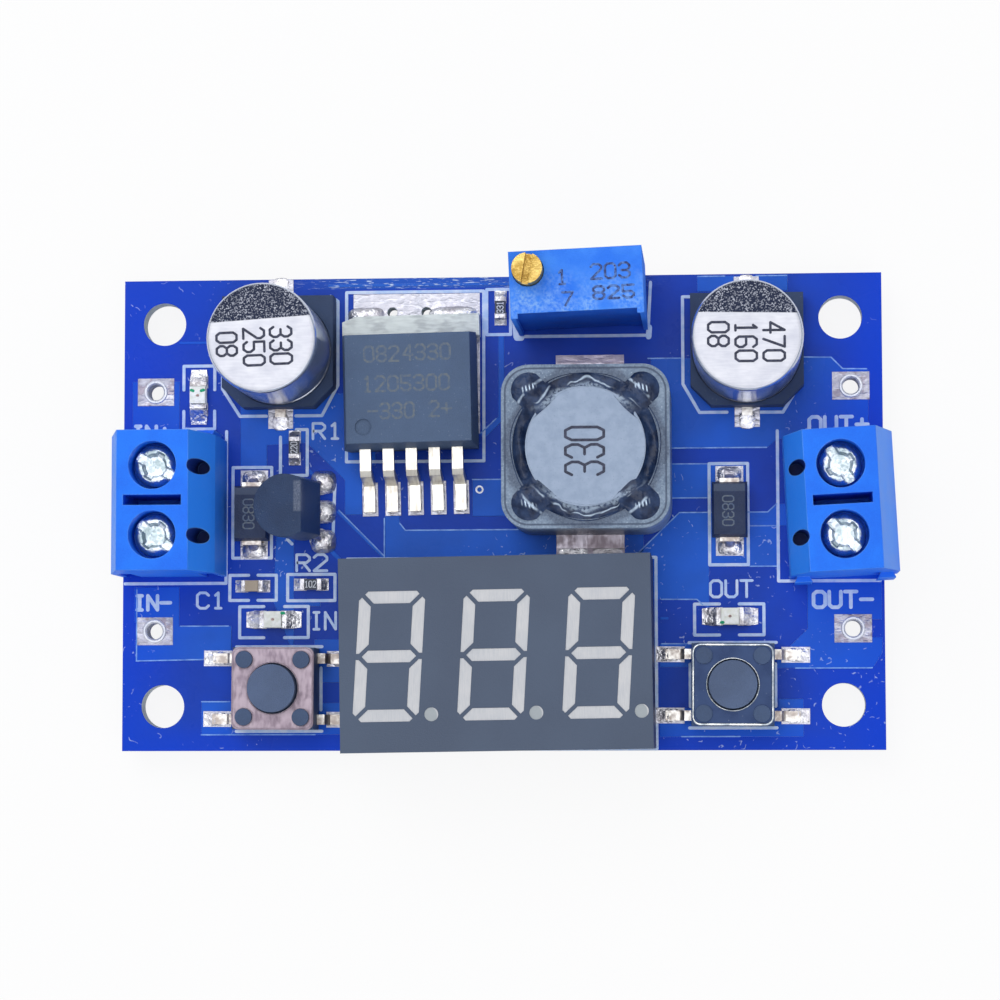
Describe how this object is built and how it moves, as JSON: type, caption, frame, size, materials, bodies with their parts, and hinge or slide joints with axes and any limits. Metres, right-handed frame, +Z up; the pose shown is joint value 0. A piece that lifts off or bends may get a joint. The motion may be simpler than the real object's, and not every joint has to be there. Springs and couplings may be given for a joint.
{
  "type": "step-down converter module",
  "caption": "Adjustable step-down voltage converter board with screw terminals at both ends, capacitors, a shielded inductor, a trimmer, two push switches and a three-digit display",
  "frame": {"origin": "centre of the four mounting holes, on the underside of the board", "axes": "+X from the input terminals to the output terminals, +Y away from the display, +Z up out of the component side"},
  "size_m": [0.0575, 0.0361, 0.0149],
  "materials": {
    "board": "blue solder mask over glass-fibre laminate",
    "lands": "tinned copper lands",
    "solder": "bright solder",
    "can": "drawn aluminium with a clear coat",
    "black_base": "moulded black plastic",
    "foil_roll": "wound foil and paper",
    "rubber_seal": "black rubber",
    "tinned_lead": "tinned wire",
    "epoxy_body": "moulded grey-black epoxy",
    "tinned_tab": "tinned copper, satin",
    "ferrite_shield": "varnished grey ferrite",
    "ferrite_core": "pale grey ferrite",
    "enamelled_copper": "enamelled copper wire",
    "inductor_clip": "tinned clips",
    "black_adhesive": "glossy black adhesive",
    "trimmer_blue": "moulded blue plastic",
    "brass_screw": "turned brass",
    "slider_plastic": "moulded slider with its wiper",
    "cermet_plate": "ceramic plate with a resistive track",
    "potting": "dark blue potting",
    "display_face": "satin slate-grey plastic",
    "segment_filler": "milky diffusing filler",
    "display_laminate": "green laminate",
    "switch_black": "moulded black plastic",
    "pink_metal": "pressed sheet, pinkish satin",
    "bright_metal": "pressed sheet, bright",
    "button_black": "moulded dark plastic",
    "dome_steel": "sprung sheet",
    "diode_epoxy": "moulded black epoxy",
    "transistor_epoxy": "moulded black epoxy, semi gloss",
    "resistor_ceramic": "black glaze over white ceramic",
    "capacitor_ceramic": "tan ceramic",
    "tinned_cap": "tinned end caps",
    "led_lens": "clear lens on a white base",
    "terminal_blue": "moulded bright blue plastic",
    "zinc_screw": "zinc plated steel",
    "nickel_cage": "nickel plated steel"
  },
  "bodies": {
    "module": {"circuit_board": "board", "solder_pads": "lands", "solder_joints": "solder", "input_terminal_housing": "terminal_blue", "input_terminal_pins": "tinned_lead", "output_terminal_housing": "terminal_blue", "output_terminal_pins": "tinned_lead", "input_capacitor_can": "can", "input_capacitor_base": "black_base", "output_capacitor_can": "can", "output_capacitor_base": "black_base", "capacitor_foil_rolls": "foil_roll", "capacitor_seals": "rubber_seal", "capacitor_leads": "tinned_lead", "regulator_body": "epoxy_body", "regulator_tab": "tinned_tab", "regulator_leads": "tinned_lead", "inductor_shield": "ferrite_shield", "inductor_core": "ferrite_core", "inductor_winding": "enamelled_copper", "inductor_terminals": "inductor_clip", "inductor_adhesive": "black_adhesive", "trimmer_housing": "trimmer_blue", "trimmer_element": "cermet_plate", "trimmer_base": "potting", "trimmer_pins": "tinned_lead", "trimmer_seal": "rubber_seal", "display_housing": "display_face", "display_segments": "segment_filler", "display_board": "display_laminate", "display_pins": "tinned_lead", "left_switch_base": "switch_black", "left_switch_cover": "pink_metal", "left_switch_dome": "dome_steel", "right_switch_base": "switch_black", "right_switch_cover": "bright_metal", "right_switch_dome": "dome_steel", "switch_terminals": "tinned_lead", "diode_bodies": "diode_epoxy", "diode_leads": "tinned_lead", "transistor_body": "transistor_epoxy", "transistor_leads": "tinned_lead", "chip_resistors": "resistor_ceramic", "ceramic_capacitor": "capacitor_ceramic", "chip_end_caps": "tinned_cap", "status_leds": "led_lens", "controller_chip": "diode_epoxy", "controller_leads": "tinned_lead"},
    "input_plus_screw": {"input_plus_screw": "zinc_screw"},
    "input_plus_cage": {"input_plus_cage": "nickel_cage"},
    "input_minus_screw": {"input_minus_screw": "zinc_screw"},
    "input_minus_cage": {"input_minus_cage": "nickel_cage"},
    "output_plus_screw": {"output_plus_screw": "zinc_screw"},
    "output_plus_cage": {"output_plus_cage": "nickel_cage"},
    "output_minus_screw": {"output_minus_screw": "zinc_screw"},
    "output_minus_cage": {"output_minus_cage": "nickel_cage"},
    "trimmer_screw": {"trimmer_screw": "brass_screw"},
    "trimmer_slider": {"trimmer_slider": "slider_plastic"},
    "left_switch_button": {"left_switch_button": "button_black"},
    "right_switch_button": {"right_switch_button": "button_black"}
  },
  "joints": [
    {"name": "input_plus_screw_turn", "type": "hinge", "parent": "module", "child": "input_plus_screw", "pos_m": [-0.0243, 0.0029, 0.0107], "axis": [0, 0, 1], "range_deg": [-1601, 0]},
    {"name": "input_plus_cage_rise", "type": "slide", "parent": "module", "child": "input_plus_cage", "axis": [0, 0, 1], "range_m": [0, 0.002]},
    {"name": "input_minus_screw_turn", "type": "hinge", "parent": "module", "child": "input_minus_screw", "pos_m": [-0.0243, -0.0021, 0.0107], "axis": [0, 0, 1], "range_deg": [-1601, 0]},
    {"name": "input_minus_cage_rise", "type": "slide", "parent": "module", "child": "input_minus_cage", "axis": [0, 0, 1], "range_m": [0, 0.002]},
    {"name": "output_plus_screw_turn", "type": "hinge", "parent": "module", "child": "output_plus_screw", "pos_m": [0.02479, 0.00263, 0.0107], "axis": [0, 0, 1], "range_deg": [-1601, 0]},
    {"name": "output_plus_cage_rise", "type": "slide", "parent": "module", "child": "output_plus_cage", "axis": [0, 0, 1], "range_m": [0, 0.002]},
    {"name": "output_minus_screw_turn", "type": "hinge", "parent": "module", "child": "output_minus_screw", "pos_m": [0.02505, -0.00237, 0.0107], "axis": [0, 0, 1], "range_deg": [-1601, 0]},
    {"name": "output_minus_cage_rise", "type": "slide", "parent": "module", "child": "output_minus_cage", "axis": [0, 0, 1], "range_m": [0, 0.002]},
    {"name": "trimmer_screw_turn", "type": "hinge", "parent": "module", "child": "trimmer_screw", "pos_m": [0.00271, 0.01658, 0.0113], "axis": [0, 0, 1], "range_deg": [0, 9001]},
    {"name": "trimmer_slider_travel", "type": "slide", "parent": "module", "child": "trimmer_slider", "axis": [0, 0, 1], "range_m": [0, 0.005]},
    {"name": "left_button_press", "type": "slide", "parent": "module", "child": "left_switch_button", "axis": [0, 0, -1], "range_m": [0, 0.00025], "stiffness_N_per_m": 1500, "springref_m": -0.0002, "deforming": ["left_switch_dome"]},
    {"name": "right_button_press", "type": "slide", "parent": "module", "child": "right_switch_button", "axis": [0, 0, -1], "range_m": [0, 0.00025], "stiffness_N_per_m": 1500, "springref_m": -0.0002, "deforming": ["right_switch_dome"]}
  ],
  "couplings": [
    {"joint": "input_plus_screw_turn", "follows": "input_plus_cage_rise", "rad_per_m": -13963},
    {"joint": "input_minus_screw_turn", "follows": "input_minus_cage_rise", "rad_per_m": -13963},
    {"joint": "output_plus_screw_turn", "follows": "output_plus_cage_rise", "rad_per_m": -13963},
    {"joint": "output_minus_screw_turn", "follows": "output_minus_cage_rise", "rad_per_m": -13963},
    {"joint": "trimmer_screw_turn", "follows": "trimmer_slider_travel", "rad_per_m": 31416}
  ]
}
